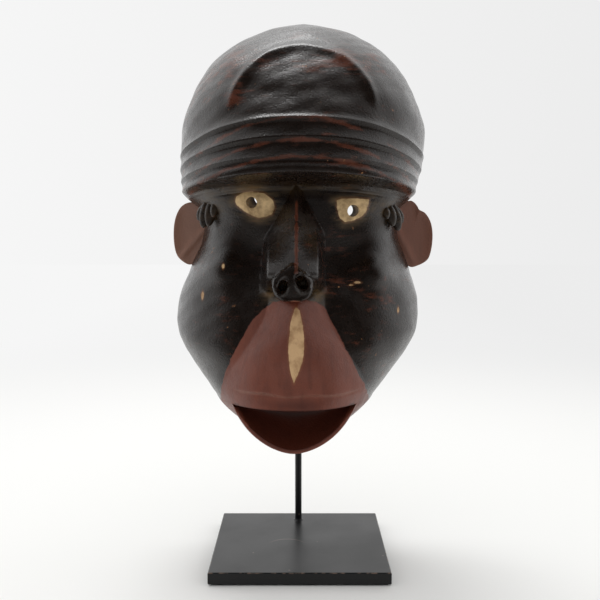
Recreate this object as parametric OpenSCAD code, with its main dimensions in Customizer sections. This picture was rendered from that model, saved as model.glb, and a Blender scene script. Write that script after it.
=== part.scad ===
// Carved wooden face mask on a steel display stand.
// Millimetres. +X right, +Y back, +Z up. The origin is the centre of the
// base's underside, so the felt lies on z = 0 and the face looks along -Y.

/* [Base] */
// Side of the square base plate
plate_side = 120; // [100:1:160]
// Thickness of the base plate
plate_thick = 8; // [6:0.5:14]
// Bevel along the plate's edges
plate_bevel = 0.6; // [0.3:0.1:1.5]
// Thickness of the felt under the plate
felt_thick = 1; // [0.5:0.5:3]
// How far the felt stays in from the plate's edge
felt_inset = 2; // [1:0.5:6]

/* [Rod] */
// Diameter of the upright rod
rod_d = 5; // [4:0.5:8]
// Height of the rod's tip above the floor
rod_top = 300; // [290:1:310]
// Distance of the rod behind the plate's centre
rod_back = 45; // [44:0.5:48]
// Sideways place of the rod
rod_side = -1; // [-4:0.5:4]
// How deep the rod's foot goes into the plate
rod_sunk = 6; // [4:0.5:7]
// Leg of the fillet weld at the rod's foot
weld_leg = 1.6; // [1:0.1:2.5]

/* [Bracket] */
// Wall of the plastic cap on the rod's tip
cap_wall = 0.8; // [0.6:0.1:1.5]
// Length of the cap
cap_len = 36; // [20:1:50]
// Outer diameter of the socket tube
tube_d = 10; // [9.5:0.5:12]
// Length of the socket tube
tube_len = 44; // [30:1:60]
// Closed end of the socket tube
tube_end = 3; // [2:0.5:6]
// Radial clearance of each sliding fit
slip = 0.08; // [0.05:0.01:0.1]
// Height of the flat strap (its width, standing on edge)
strap_w = 20; // [14:1:24]
// Thickness of the strap
strap_t = 3; // [2:0.5:4]
// Height of the strap's middle above the floor
strap_z = 286; // [280:1:290]
// Sideways place of the strap's middle, in the middle of the hollow
strap_side = 1.4; // [0:0.2:3]
// Half the length of the strap, to the outside of its tabs
strap_half = 67.5; // [66:0.5:68]
// Reach of each end tab along the hollow's side wall
tab_len = 30; // [24:1:34]
// Diameter of the wood screws' shank
screw_d = 3; // [2.5:0.5:4]
// Length of the screws under the head
screw_len = 16; // [13:1:17]

/* [Mask] */
// Plane of the mask's back rim
rim_y = 38; // [34:1:39]
// Height of the crown above the floor
crown_z = 382.5; // [375:0.5:390]
// Height of the jaw's keel above the floor, in front
keel_z = 91; // [90:0.5:93]
// Relief of the three forehead bands
band_h = 2.8; // [1:0.2:4]
// How far the snout lies before the rim
snout_far = 129.5; // [120:0.5:132]
// Forward swell of the muzzle
muzzle_h = 24; // [12:1:26]
// Swell of the cheek bones
cheek_h = 7; // [3:1:10]
// Depth of the open mouth
mouth_deep = 34; // [20:1:38]
// Half the width of the mouth between its corners
mouth_half = 40; // [36:0.5:42]
// Diameter of the pierced eyes
eye_d = 7.4; // [6:0.2:9]

/* [Hidden] */
$fn = 64;
plate_top = felt_thick + plate_thick;
cap_id = rod_d + 2 * slip;
cap_od = cap_id + 2 * cap_wall;
cap_end = 2;
cap_top = rod_top + cap_end;
tube_id = cap_od + 2 * slip;
tube_top = cap_top + tube_end;
strap_back = rod_back - tube_d / 2;
strap_front = strap_back - strap_t;
tab_hole_y = [strap_front - 10, strap_front - 22];
weld_in = 2;
pad_in = 1;
pad_max = 8;
screw_slip = 0.2;
head_d = 2 * screw_d;
head_h = 0.6 * screw_d;
head_round = 1;
tip_len = 2;
slot_w = 0.8;
slot_deep = 0.8;
rod_bevel = 0.8;
weld_round = 0.98;

// Stations of the carving from the upper lip (first) to the crown (last):
// [place along the way up, height in front, height at the rim, half width,
//  depth before the rim, squareness, sideways shift]
STATIONS = [
    [0.00, 121, 118, 58.5, 124, 2.15, -3.4],
    [0.06, 138, 136, 73.0, 109, 2.2, -2.8],
    [0.13, 160, 158, 86.5, 103, 2.3, -2.0],
    [0.21, 184, 182, 87.5, 95, 2.3, -1.0],
    [0.29, 208, 206, 79.5, 84, 2.4, 0],
    [0.37, 232, 229, 70.5, 83, 2.6, 0.8],
    [0.43, 250, 245, 71.5, 85, 2.8, 0.3],
    [0.475, 262, 254, 80.0, 89, 3.0, -0.5],
    [0.49, 266.5, 257, 82.5, 113, 2.6, -0.4],
    [0.53, 276.5, 264, 84.0, 113, 2.5, 0],
    [0.57, 288.5, 272, 86.0, 111, 2.4, 0.8],
    [0.61, 301, 281, 87.0, 108, 2.3, 1.6],
    [0.70, 324, 304, 87.5, 100, 2.2, 2.6],
    [0.79, 345, 329, 79.0, 81, 2.2, 2.6],
    [0.87, 359, 352, 65.0, 58, 2.2, 2.6],
    [0.94, 372, 370, 41.0, 32, 2.1, 3.0],
    [0.98, 378.4, 378, 20.5, 14, 2.0, 2.6],
    [1.00, crown_z, crown_z, 0, 0, 2.0, 3.0]];
// Stations of the hollow: [height, half width, depth before the rim]
HOLLOW = [[104, 24, 44], [113, 40, 64], [130, 56, 71], [160, 72, 73], [190, 71, 72.5],
          [212, 65, 72], [235, 63, 72], [252, 66, 74], [270, 72, 84], [300, 74, 90],
          [330, 68, 78], [350, 51, 54], [362, 34, 34], [367, 20, 20]];
HALF_COLS = 32;
LIP_JAW_ROWS = 7;
TROUGH_ROWS = 8;
// Rows of the face, closer together at the snout, the brow's edge and the bands
WAY_UP = [for (i = [0:8]) 0.2 * i / 8, for (i = [1:10]) 0.2 + 0.11 * i / 10,
          for (i = [1:7]) 0.31 + 0.165 * i / 7, for (i = [1:3]) 0.475 + 0.005 * i,
          for (i = [1:16]) 0.49 + 0.14 * i / 16, for (i = [1:12]) 0.63 + 0.37 * i / 12];
// Places of the brow's edge and the three band crests along the way up
CRESTS = [[0.478, -1], [0.49, 0], [0.53, 1], [0.57, 2], [0.61, 3], [0.66, 4.2]];
// Forward swell of the muzzle up its height, as a share of its greatest
MUZZLE = [[118, 0], [121, 0], [130, 0.24], [141, 0.5], [160, 0.8], [176, 0.95], [186, 1], [191, 0.6], [196, 0]];
jaw_edge = [-76, keel_z + 1.3];
jaw_straight = 1.4;
keel_x = -4;
keel_len = 110;
nose_x = -2;
nose_left = 16;
nose_right = 12.5;
nose_start = 90;
nose_rise = 0.74;
brow_z = 256;
snout_at = [-4.2, 199.3];
snout_half = [12.3, 11.2];
// Each nostril: [side, height, width, height of its opening]
NOSTRILS = [[-9.6, 197.5, 6, 8], [1.4, 199.5, 7.4, 8.6]];
nostril_deep = 9;
// Edge of each ear as the middles of its balls: [side, height]
EAR_LEFT = [[-76, 248.6], [-85.5, 244], [-88.2, 231], [-86.6, 217.5], [-76.6, 211.4], [-66.6, 231.5]];
EAR_RIGHT = [[79, 249.4], [88, 243], [93.2, 229], [91.3, 214.5], [78.8, 210.2], [68.6, 231.5]];
ear_y = 19.3;
ear_thick = 5.6;
// Leaves of hair at the temples: [top, bottom, width, thickness]
LEAVES = [[[-61, -11, 252], [-66.5, -6, 235.5], 5.6, 5.5], [[-60, -16.5, 253], [-63, -15, 233], 5, 6.5],
          [[-57.5, -20, 252.5], [-59.5, -20, 234.5], 5, 6.5], [[63, -10, 248], [68.6, -3, 236], 5.5, 6],
          [[62.5, -14, 248], [66.8, -8, 231.5], 5.2, 7], [[61, -17, 247], [63.5, -14, 235], 4.6, 6]];
// Each pierced eye: [side, height, slant in degrees]
EYES = [[-32, 247, -14], [34.5, 244, 9]];
eye_start = -54;
eye_len = 34;

// Slope at station i of column k, from its two neighbours
function slope(list, k, i) =
    let (a = max(i - 1, 0), b = min(i + 1, len(list) - 1))
    (list[b][k] - list[a][k]) / (list[b][0] - list[a][0]);
// Number of the stretch that holds x
function stretch(list, x, i = 0) =
    i >= len(list) - 2 || x < list[i + 1][0] ? i : stretch(list, x, i + 1);
// Smooth curve (cubic Hermite) through column k of the stations
function curve(list, k, x) =
    let (i = stretch(list, x), h = list[i + 1][0] - list[i][0], t = (x - list[i][0]) / h)
    (2 * t ^ 3 - 3 * t ^ 2 + 1) * list[i][k] + (t ^ 3 - 2 * t ^ 2 + t) * h * slope(list, k, i)
    + (3 * t ^ 2 - 2 * t ^ 3) * list[i + 1][k] + (t ^ 3 - t ^ 2) * h * slope(list, k, i + 1);
// 0 below a, 1 above b, smooth between
function ease(a, b, x) = let (t = min(max((x - a) / (b - a), 0), 1)) t * t * (3 - 2 * t);
// Round swelling of height 1 and reach r
function swell(x, z, r) = exp(-(x * x + z * z) / (r * r));
// Angle of column j: 0 in front, -90 and 90 at the rim, closer together in front
function col_angle(j) = let (s = j / HALF_COLS) 90 * (s - 0.12 * sin(180 * s));

// Forward relief of the face over its plain curved form, which lies d before the rim:
// a sharp ridge that opens into two planes, then the round snout
function nose(x, z, d) =
    let (off = abs(x - nose_x), half = x < nose_x ? nose_left : nose_right, low = ease(228, 217, z),
         fall = (1 - low) * 2.4 * off + low * (0.62 * off + 3.5 * max(0, off - half)))
    max(0, nose_start + nose_rise * (brow_z - z) - fall - d) * ease(188, 206, z) * ease(266, 257, z);
function snout(x, z, d) =
    let (wide = snout_half[0] * (1 - 0.62 * ease(201, 212, z)),
         r = norm([(x - snout_at[0]) / wide, (z - snout_at[1]) / snout_half[1]]))
    max(0, snout_far - 2.5 * r * r - d) * ease(1.14, 0.98, r);
function muzzle(x, z) =
    let (w = 18 + 32 * ease(188, 118, z), m = min(max((w - abs(x + 2 + (184 - z) / 40)) / 40, 0), 1))
    muzzle_h * curve(MUZZLE, 1, min(max(z, 118), 196)) * (1 - (1 - m) ^ 2);
function cheeks(x, z) =
    cheek_h * (swell(x + 55, z - 212, 17) + swell(x - 53, z - 209, 17))
    - 5 * (swell(x + 28, z - 216, 14) + swell(x - 26, z - 214, 14));
function relief(x, z, d) = max(nose(x, z, d), snout(x, z, d), muzzle(x, z)) + cheeks(x, z);
// Forehead bands: sharp crests joined by round troughs, fading out before the rim
function bands(v, a) =
    let (t = lookup(v, CRESTS), wave = (2 * (t - floor(t)) - 1) ^ 2)
    band_h * (1 - abs(sin(a)) ^ 12) * (t <= 0 ? ease(-1, 0, t) : t < 3 ? wave : exp(-5 * (t - 3)));

// Point of the face above the lip: v is the way up, a the column's angle
function face_point(v, a) =
    let (n = curve(STATIONS, 5, v), side = abs(sin(a)), front = pow(max(1 - side ^ n, 0), 1 / n),
         b = v > 0.999 ? 0 : bands(v, a), d = (curve(STATIONS, 4, v) + b) * front,
         x = curve(STATIONS, 6, v) + sign(a) * (curve(STATIONS, 3, v) + b * side) * side,
         zf = curve(STATIONS, 1, v), z = zf + (curve(STATIONS, 2, v) - zf) * side ^ 2.5)
    [x, rim_y - d - relief(x, z, d) * ease(0, 0.5, front), z];
function face_row(v) = [for (j = [-HALF_COLS:HALF_COLS]) face_point(v, col_angle(j))];

LIP = face_row(0);
lip_x = STATIONS[0][6];
// How far across the mouth a lip point lies: 0 in the middle, 1 at a corner
function across(j) = min(1, abs(LIP[j + HALF_COLS][0] - lip_x) / mouth_half);
// Edge of the lower jaw: a rounded V under the lip, one with the lip past the corners
function jaw_point(j) =
    let (p = LIP[j + HALF_COLS], r = across(j))
    r >= 1 ? p : [p[0], jaw_edge[0] + (p[1] - jaw_edge[0]) * r ^ 3, jaw_edge[1] + (p[2] - jaw_edge[1]) * r ^ 1.9];
// Inside of the mouth: s is 0 at the lip and 1 at the jaw's edge
function mouth_point(j, s) =
    let (p = LIP[j + HALF_COLS], q = jaw_point(j), r = across(j),
         d = mouth_deep * pow(1 - r * r, 0.7) * s ^ 0.3 * (1 - s) ^ 0.75 / 0.534)
    r >= 1 ? p : p + (q - p) * s + [0, d, 0];
// Outside of the jaw: r is 0 at its edge and 1 at the keel underneath
function trough_point(j, r) =
    let (p = jaw_point(j), a = 90 * r, c = r >= 1 ? 0 : cos(a) ^ jaw_straight, s = sin(a) ^ jaw_straight,
         keel_y = rim_y - keel_len * cos(col_angle(abs(j))) ^ 0.8)
    [keel_x + (p[0] - keel_x) * c, p[1] + (keel_y - p[1]) * (1 - c), p[2] - (p[2] - keel_z) * s];

// Whether triangle t has three different corners
function three_corners(p, t) = p[t[0]] != p[t[1]] && p[t[1]] != p[t[2]] && p[t[2]] != p[t[0]];
// Solid through a stack of closed rings with the same number of points; its
// ends get flat caps, unless they are already closed to a line or a point
module loft(rings, caps = true) {
    n = len(rings[0]);
    top = len(rings) - 1;
    points = [for (r = rings) each r];
    polyhedron(
        points = points,
        faces = [
            if (caps) [for (j = [0:n - 1]) j],
            for (i = [0:top - 1], j = [0:n - 1])
                let (a = i * n + j, b = i * n + (j + 1) % n)
                each [for (t = [[a, a + n, b], [b, a + n, b + n]]) if (three_corners(points, t)) t],
            if (caps) [for (j = [n - 1:-1:0]) top * n + j]],
        convexity = 10);
}

module mask_block() {
    cols = [-HALF_COLS:HALF_COLS];
    loft([
        for (i = [TROUGH_ROWS:-1:1]) [for (j = cols) trough_point(j, i / TROUGH_ROWS)],
        [for (j = cols) jaw_point(j)],
        for (i = [LIP_JAW_ROWS - 1:-1:1])
            [for (j = cols) mouth_point(j, pow(i / LIP_JAW_ROWS, 1.7))],
        for (v = WAY_UP) face_row(v)], caps = false);
}

// Inside of the mask, scooped out from the back
module mask_hollow() {
    q = 2 / 2.4;
    loft([for (z = [for (z = [104:8:360]) z, 367])
        let (w = curve(HOLLOW, 1, z), d = curve(HOLLOW, 2, z), x = (z - 200) / 60)
        [[x - w, rim_y + 2, z],
         for (a = [-90:7.5:90]) [x + w * sign(a) * abs(sin(a)) ^ q, rim_y - d * cos(a) ^ q, z],
         [x + w, rim_y + 2, z]]]);
}

// Flat ear: a hull of small balls round its edge, scooped on its front
module ear(edge, scoop) {
    difference() {
        hull() for (p = edge) translate([p[0], ear_y, p[1]]) sphere(d = ear_thick, $fn = 14);
        translate([scoop[0], ear_y - 7, scoop[1]]) scale([0.55, 0.4, 1]) sphere(r = 15, $fn = 20);
    }
}

// Pointed leaf of hair: oval rings along its length, widest in the middle
module leaf(top, bottom, wide, thick) {
    loft([for (t = [0.95, 0.8, 0.6, 0.4, 0.2, 0.05]) let (r = sin(180 * t) ^ 0.7 / 2)
        [for (a = [0:45:315]) top + (bottom - top) * t + [wide * r * sin(a), -thick * r * cos(a), 0]]]);
}

module nostrils() {
    for (n = NOSTRILS) translate([n[0], rim_y - snout_far - 3, n[1]]) rotate([-80, 0, 0])
        scale([n[2], n[3], 1]) cylinder(d = 1, h = nostril_deep + 3, $fn = 16);
}

module pierced_eyes() {
    for (e = EYES) translate([e[0], eye_start, e[1]]) rotate([-90, 0, e[2]])
        cylinder(d = eye_d, h = eye_len, $fn = 24);
}

// Turns its children outward along each screw's axis, x from the strap's middle
module at_screws(x) {
    for (side = [-1, 1], y = tab_hole_y)
        translate([strap_side + side * x, y, strap_z]) rotate([0, side * 90, 0]) children();
}

module mask_carving() {
    color("#33211b") difference() {
        union() {
            mask_block();
            ear(EAR_LEFT, [-80, 229]);
            ear(EAR_RIGHT, [84.5, 228]);
            for (l = LEAVES) leaf(l[0], l[1], l[2], l[3]);
        }
        mask_hollow();
        nostrils();
        pierced_eyes();
        at_screws(strap_half - strap_t - 1) cylinder(d = screw_d, h = screw_len + 1, $fn = 24);
    }
}

module base_plate() {
    color("#232425") difference() {
        hull() {
            translate([0, 0, felt_thick + plate_thick / 2])
                cube([plate_side, plate_side, plate_thick - 2 * plate_bevel], center = true);
            translate([0, 0, felt_thick + plate_thick / 2])
                cube([plate_side - 2 * plate_bevel, plate_side - 2 * plate_bevel, plate_thick], center = true);
        }
        translate([rod_side, rod_back, plate_top - rod_sunk]) cylinder(d = rod_d, h = rod_sunk + 1);
    }
}

module base_felt() {
    side = plate_side - 2 * felt_inset;
    color("#1c1c1c") translate([-side / 2, -side / 2, 0]) cube([side, side, felt_thick]);
}

module upright_rod() {
    color("#232425") translate([rod_side, rod_back, 0]) rotate_extrude() polygon([
        [0, plate_top - rod_sunk], [rod_d / 2, plate_top - rod_sunk],
        [rod_d / 2, rod_top - rod_bevel], [rod_d / 2 - rod_bevel, rod_top], [0, rod_top]]);
}

module foot_weld() {
    r = rod_d / 2;
    color("#232425") translate([rod_side, rod_back, plate_top]) rotate_extrude() difference() {
        translate([r, 0]) square(weld_leg);
        translate([r + weld_leg, weld_leg]) circle(r = weld_leg * weld_round);
    }
}

module rod_cap() {
    color("#101010") translate([rod_side, rod_back, cap_top - cap_len]) difference() {
        cylinder(d = cap_od, h = cap_len);
        translate([0, 0, -1]) cylinder(d = cap_id, h = cap_len - cap_end + 1);
    }
}

module socket_tube() {
    color("#2b2c2d") translate([rod_side, rod_back, tube_top - tube_len]) difference() {
        cylinder(d = tube_d, h = tube_len);
        translate([0, 0, -1]) cylinder(d = tube_id, h = tube_len - tube_end + 1);
    }
}

module cross_strap() {
    color("#2b2c2d") difference() {
        translate([strap_side, 0, strap_z - strap_w / 2]) union() {
            translate([-strap_half, strap_front, 0]) cube([2 * strap_half, strap_t, strap_w]);
            for (side = [-1, 1])
                translate([side * (strap_half - strap_t / 2) - strap_t / 2, strap_front - tab_len, 0])
                    cube([strap_t, tab_len + strap_t, strap_w]);
        }
        at_screws(strap_half - strap_t - 1) cylinder(d = screw_d + screw_slip, h = strap_t + 2);
    }
}

module tube_welds() {
    width = strap_w - 2 * weld_in;
    color("#2b2c2d") for (side = [-1, 1])
        translate([rod_side, 0, strap_z - width / 2]) linear_extrude(width) difference() {
            polygon([[0, strap_back], [side * (tube_d / 2 + 0.4), strap_back],
                     [side * (tube_d / 2 - 0.8), rod_back - tube_d / 4], [0, rod_back]]);
            translate([0, rod_back]) circle(d = tube_d);
        }
}

// Felt between each tab and the curved wall, filling the gap
module tab_pads() {
    long = tab_len - 2 * pad_in;
    wide = strap_w - 2 * pad_in;
    color("#1c1c1c") difference() {
        intersection() {
            for (side = [-1, 1])
                translate([strap_side + side * (strap_half + pad_max / 2) - pad_max / 2,
                           strap_front - tab_len + pad_in, strap_z - wide / 2])
                    cube([pad_max, long, wide]);
            mask_hollow();
        }
        at_screws(strap_half - 1) cylinder(d = screw_d, h = pad_max + 2, $fn = 24);
    }
}

// Round-head wood screws, driven outwards through the tabs
module strap_screws() {
    color("#8a8578") at_screws(strap_half - strap_t) difference() {
        rotate_extrude() polygon([
            [0, -head_h], [head_d / 2 - head_round, -head_h], [head_d / 2, -head_h + head_round],
            [head_d / 2, 0], [screw_d / 2, 0], [screw_d / 2, screw_len - tip_len], [0, screw_len]]);
        translate([-head_d, -slot_w / 2, -head_h - 1]) cube([2 * head_d, slot_w, slot_deep + 1]);
    }
}

base_plate();
base_felt();
upright_rod();
foot_weld();
rod_cap();
socket_tube();
cross_strap();
tube_welds();
tab_pads();
strap_screws();
mask_carving();
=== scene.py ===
import math

import bmesh
import bpy
import numpy as np
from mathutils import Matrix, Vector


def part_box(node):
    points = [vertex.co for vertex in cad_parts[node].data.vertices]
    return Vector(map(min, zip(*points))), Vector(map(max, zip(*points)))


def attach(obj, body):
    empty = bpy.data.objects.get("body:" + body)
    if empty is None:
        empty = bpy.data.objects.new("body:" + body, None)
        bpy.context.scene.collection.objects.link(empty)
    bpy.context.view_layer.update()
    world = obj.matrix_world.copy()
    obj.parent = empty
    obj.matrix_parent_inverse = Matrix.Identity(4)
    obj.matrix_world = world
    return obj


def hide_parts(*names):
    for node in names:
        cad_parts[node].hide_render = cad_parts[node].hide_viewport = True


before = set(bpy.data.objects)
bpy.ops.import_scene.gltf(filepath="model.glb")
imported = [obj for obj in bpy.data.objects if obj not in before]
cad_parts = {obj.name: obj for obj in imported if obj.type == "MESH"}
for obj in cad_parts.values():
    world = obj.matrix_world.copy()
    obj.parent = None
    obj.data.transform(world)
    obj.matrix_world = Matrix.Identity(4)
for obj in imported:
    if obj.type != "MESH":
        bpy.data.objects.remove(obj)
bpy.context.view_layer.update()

# ---------------------------------------------------------------- camera
# A 51 mm lens about 0.6 m in front of the stand's centre, a little above
# the middle of the face and tipped down by 4.4 degrees.
LENS_MM = 51.07
CAMERA_AT = (0.00025, -0.599, 0.2283)
CAMERA_DIP = math.radians(4.36)
SENSOR_MM = 36.0
camera_data = bpy.data.cameras.new("camera")
camera_data.lens = LENS_MM
camera_data.sensor_width = SENSOR_MM
camera = bpy.data.objects.new("camera", camera_data)
camera.location = CAMERA_AT
camera.rotation_euler = (math.pi / 2 - CAMERA_DIP, 0, 0)
bpy.context.scene.collection.objects.link(camera)
bpy.context.scene.camera = camera

# ---------------------------------------------------------------- studio
# A pale matt table in a white studio: bright behind and at the sides, dark
# where a viewer stands, with one broad soft light almost overhead.
FLOOR_HALF = 6.0
FLOOR_FADE_START, FLOOR_FADE_END = 0.16, 1.3
DARK_START, DARK_END, DARK_SHARE = -0.08, -0.3, 0.85
# brightness of the room: seen directly, in gloss, and as fill on matt surfaces
BACK_LEFT, BACK_RIGHT = 0.93, 0.85
GLOSS_FRONT, GLOSS_BACK = 0.04, 1.1
FILL_LEVEL, FILL_ABOVE = 0.60, 1.0
LIGHT_AT, LIGHT_AIM, LIGHT_SIZE, LIGHT_WATTS = (-0.15, 0.40, 1.42), (0, 0, 0.25), 0.55, 7


def add_node(tree, kind, inputs=None, **settings):
    """Adds a shader node. Settings are its properties; inputs are numbers, sockets or nodes.

    A node given as an input stands for the first of its outputs that is in use."""
    made = tree.nodes.new("ShaderNode" + kind)
    for name, value in settings.items():
        setattr(made, name, value)
    for key, value in (inputs or {}).items():
        if isinstance(value, bpy.types.Node):
            value = next(socket for socket in value.outputs if socket.enabled)
        if isinstance(value, bpy.types.NodeSocket):
            tree.links.new(value, made.inputs[key])
        else:
            made.inputs[key].default_value = value
    return made


def linear(hex_colour):
    """sRGB hex colour to linear RGBA: each channel c becomes ((c + 0.055) / 1.055) ^ 2.4, or c / 12.92 if dark."""
    channels = [int(hex_colour[i:i + 2], 16) / 255 for i in (1, 3, 5)]
    return tuple(c / 12.92 if c <= 0.04045 else ((c + 0.055) / 1.055) ** 2.4 for c in channels) + (1.0,)


def empty_material(name):
    """A material with no nodes yet, and its node tree."""
    material = bpy.data.materials.new(name)
    material.use_nodes = True
    material.node_tree.nodes.clear()
    return material, material.node_tree


def mesh_object(name, points, faces, material):
    """A smooth-shaded object at the origin from an array of points in metres and a list of faces."""
    mesh = bpy.data.meshes.new(name)
    mesh.from_pydata(points.reshape(-1, 3).tolist(), [], faces)
    mesh.materials.append(material)
    mesh.shade_smooth()
    made = bpy.data.objects.new(name, mesh)
    bpy.context.scene.collection.objects.link(made)
    return made


bpy.context.scene.view_settings.view_transform = "Standard"
table_paint, tree = empty_material("matt_white_table")
place = add_node(tree, "TexCoord").outputs["Object"]
at = add_node(tree, "SeparateXYZ", {0: place})
from_middle = add_node(tree, "VectorMath", {0: place}, operation="LENGTH")
glow_level = add_node(tree, "MapRange", {"Value": at.outputs["X"], 1: -0.6, 2: 0.6, 3: BACK_LEFT, 4: BACK_RIGHT})
glow = add_node(tree, "Emission", {"Color": linear("#fefefe"), "Strength": glow_level})
fade = add_node(tree, "MapRange", {"Value": from_middle, 1: FLOOR_FADE_START, 2: FLOOR_FADE_END},
                interpolation_type="SMOOTHSTEP")
matt = add_node(tree, "BsdfDiffuse", {"Color": linear("#f0f0ee")})
blend = add_node(tree, "MixShader", {0: fade, 1: matt, 2: glow})
# what shines in the gloss from in front is the dark room past the table's edge
front = add_node(tree, "MapRange", {"Value": at.outputs["Y"], 1: DARK_START, 2: DARK_END, 3: 0.0, 4: DARK_SHARE})
ray = add_node(tree, "LightPath")
in_gloss = add_node(tree, "Math", {0: front, 1: ray.outputs["Is Glossy Ray"]}, operation="MULTIPLY")
dark = add_node(tree, "BsdfDiffuse", {"Color": linear("#1a1a1a")})
both = add_node(tree, "MixShader", {0: in_gloss, 1: blend, 2: dark})
add_node(tree, "OutputMaterial", {"Surface": both})
corners = np.array([[-1, -1, 0], [1, -1, 0], [1, 1, 0], [-1, 1, 0]]) * FLOOR_HALF
mesh_object("table", corners, [(0, 1, 2, 3)], table_paint)

world = bpy.data.worlds.new("studio")
bpy.context.scene.world = world
world.use_nodes = True
tree = world.node_tree
tree.nodes.clear()
toward = add_node(tree, "SeparateXYZ", {0: add_node(tree, "TexCoord").outputs["Generated"]})
lit = add_node(tree, "MapRange", {"Value": toward.outputs["Y"], 1: -0.5, 2: 0.35, 3: GLOSS_FRONT, 4: GLOSS_BACK},
               interpolation_type="SMOOTHSTEP")
seen = add_node(tree, "MapRange", {"Value": toward.outputs["X"], 1: -0.35, 2: 0.35, 3: BACK_LEFT, 4: BACK_RIGHT})
fill = add_node(tree, "MapRange", {"Value": toward.outputs["Z"], 1: 0.0, 2: 1.0, 3: FILL_LEVEL, 4: FILL_ABOVE})
ray = add_node(tree, "LightPath")
lit = add_node(tree, "Mix", {0: ray.outputs["Is Diffuse Ray"], 2: lit, 3: fill})
level = add_node(tree, "Mix", {0: ray.outputs["Is Camera Ray"], 2: lit, 3: seen})
shade = add_node(tree, "Background", {"Color": linear("#fefefe"), "Strength": level})
add_node(tree, "OutputWorld", {"Surface": shade})

lamp_data = bpy.data.lights.new("overhead", "AREA")
lamp_data.size = LIGHT_SIZE
lamp_data.energy = LIGHT_WATTS
lamp = bpy.data.objects.new("overhead", lamp_data)
lamp.location = LIGHT_AT
down = np.subtract(LIGHT_AIM, LIGHT_AT)
lamp.rotation_euler = (math.atan2(math.hypot(down[0], down[1]), -down[2]), 0, math.atan2(-down[0], down[1]))
bpy.context.scene.collection.objects.link(lamp)

# ---------------------------------------------------------------- stand
# A square plate and a round rod of mild steel, welded and painted satin
# black, and the bracket screwed inside the mask, painted the same. Knocks
# have chipped the plate's edges down to primer and rust.
plate_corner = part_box("base_plate")[1]
EDGE, TOP = float(plate_corner[0]), float(plate_corner[2])
CHIP_BAND = 0.0013
SPECK_SPACING = 0.0064
SCRATCH_AT, SCRATCH_RADIUS = (-0.009, -0.012), 0.014
# sizes of the enamel's patterns in metres
ENAMEL_GRAIN, RUST_PATCH, ENAMEL_CLOUD = 0.0009, 0.005, 0.035


def cover(node_name, material):
    """Gives a CAD node one material in place of those it had."""
    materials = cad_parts[node_name].data.materials
    materials.clear()
    materials.append(material)


enamel, tree = empty_material("satin_black_enamel_on_steel")
place = add_node(tree, "TexCoord").outputs["Object"]
at = add_node(tree, "SeparateXYZ", {0: place})
fine = add_node(tree, "TexNoise", {"Vector": place, "Scale": 1 / ENAMEL_GRAIN, "Detail": 3.0})
broad = add_node(tree, "TexNoise", {"Vector": place, "Scale": 1 / ENAMEL_CLOUD, "Detail": 4.0})
patchy = add_node(tree, "TexNoise", {"Vector": place, "Scale": 1 / RUST_PATCH, "Detail": 5.0})
# chips only along the plate's top edge
off_x = add_node(tree, "Math", {0: at.outputs["X"]}, operation="ABSOLUTE")
off_y = add_node(tree, "Math", {0: at.outputs["Y"]}, operation="ABSOLUTE")
edge = add_node(tree, "Math", {0: off_x, 1: off_y}, operation="MAXIMUM")
near_edge = add_node(tree, "MapRange", {"Value": edge, 1: EDGE - CHIP_BAND, 2: EDGE})
near_top = add_node(tree, "MapRange", {"Value": at.outputs["Z"], 1: TOP - CHIP_BAND, 2: TOP})
on_plate = add_node(tree, "MapRange", {"Value": at.outputs["Z"], 1: TOP + 0.001, 2: TOP + 0.0002})
at_edge = add_node(tree, "Math", {0: near_edge, 1: near_top}, operation="MULTIPLY")
at_edge = add_node(tree, "Math", {0: at_edge, 1: on_plate}, operation="MULTIPLY")
knocked = add_node(tree, "Math", {0: at_edge, 1: patchy}, operation="MULTIPLY")
chipped = add_node(tree, "MapRange", {"Value": knocked, 1: 0.30, 2: 0.36})
# a few specks of dust, and one faint scratch that curves
specks = add_node(tree, "TexVoronoi", {"Vector": place, "Scale": 1 / SPECK_SPACING})
rare = add_node(tree, "SeparateColor", {0: specks.outputs["Color"]})
rare = add_node(tree, "MapRange", {"Value": rare, 1: 0.90, 2: 0.91})
small = add_node(tree, "MapRange", {"Value": specks.outputs["Distance"], 1: 0.13, 2: 0.08})
dots = add_node(tree, "Math", {0: rare, 1: small}, operation="MULTIPLY")
from_arc = add_node(tree, "VectorMath", {0: place, 1: (*SCRATCH_AT, TOP)}, operation="DISTANCE")
from_arc = add_node(tree, "Math", {0: from_arc, 1: SCRATCH_RADIUS}, operation="SUBTRACT")
from_arc = add_node(tree, "Math", {0: from_arc}, operation="ABSOLUTE")
arc = add_node(tree, "MapRange", {"Value": from_arc, 1: 0.0007, 2: 0.0002, 3: 0.0, 4: 0.8})
arc_part = add_node(tree, "MapRange", {"Value": at.outputs["Y"], 1: -0.006, 2: 0.001})
arc = add_node(tree, "Math", {0: arc, 1: arc_part}, operation="MULTIPLY")
marks = add_node(tree, "Math", {0: chipped, 1: dots}, operation="MAXIMUM")
marks = add_node(tree, "Math", {0: marks, 1: arc}, operation="MAXIMUM")
paint = add_node(tree, "Mix", {0: broad, 6: linear("#101011"), 7: linear("#1b1b1c")}, data_type="RGBA")
rust = add_node(tree, "Mix", {0: patchy, 6: linear("#77736c"), 7: linear("#553526")}, data_type="RGBA")
colour = add_node(tree, "Mix", {0: marks, 6: paint, 7: rust}, data_type="RGBA")
gloss = add_node(tree, "MapRange", {"Value": broad, 1: 0.3, 2: 0.7, 3: 0.30, 4: 0.40})
skin = add_node(tree, "Bump", {"Height": fine, "Strength": 0.3, "Distance": 0.0001})
shader = add_node(tree, "BsdfPrincipled", {"Base Color": colour, "Roughness": gloss, "Normal": skin,
                                          "Specular IOR Level": 0.3})
add_node(tree, "OutputMaterial", {"Surface": shader})
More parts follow.
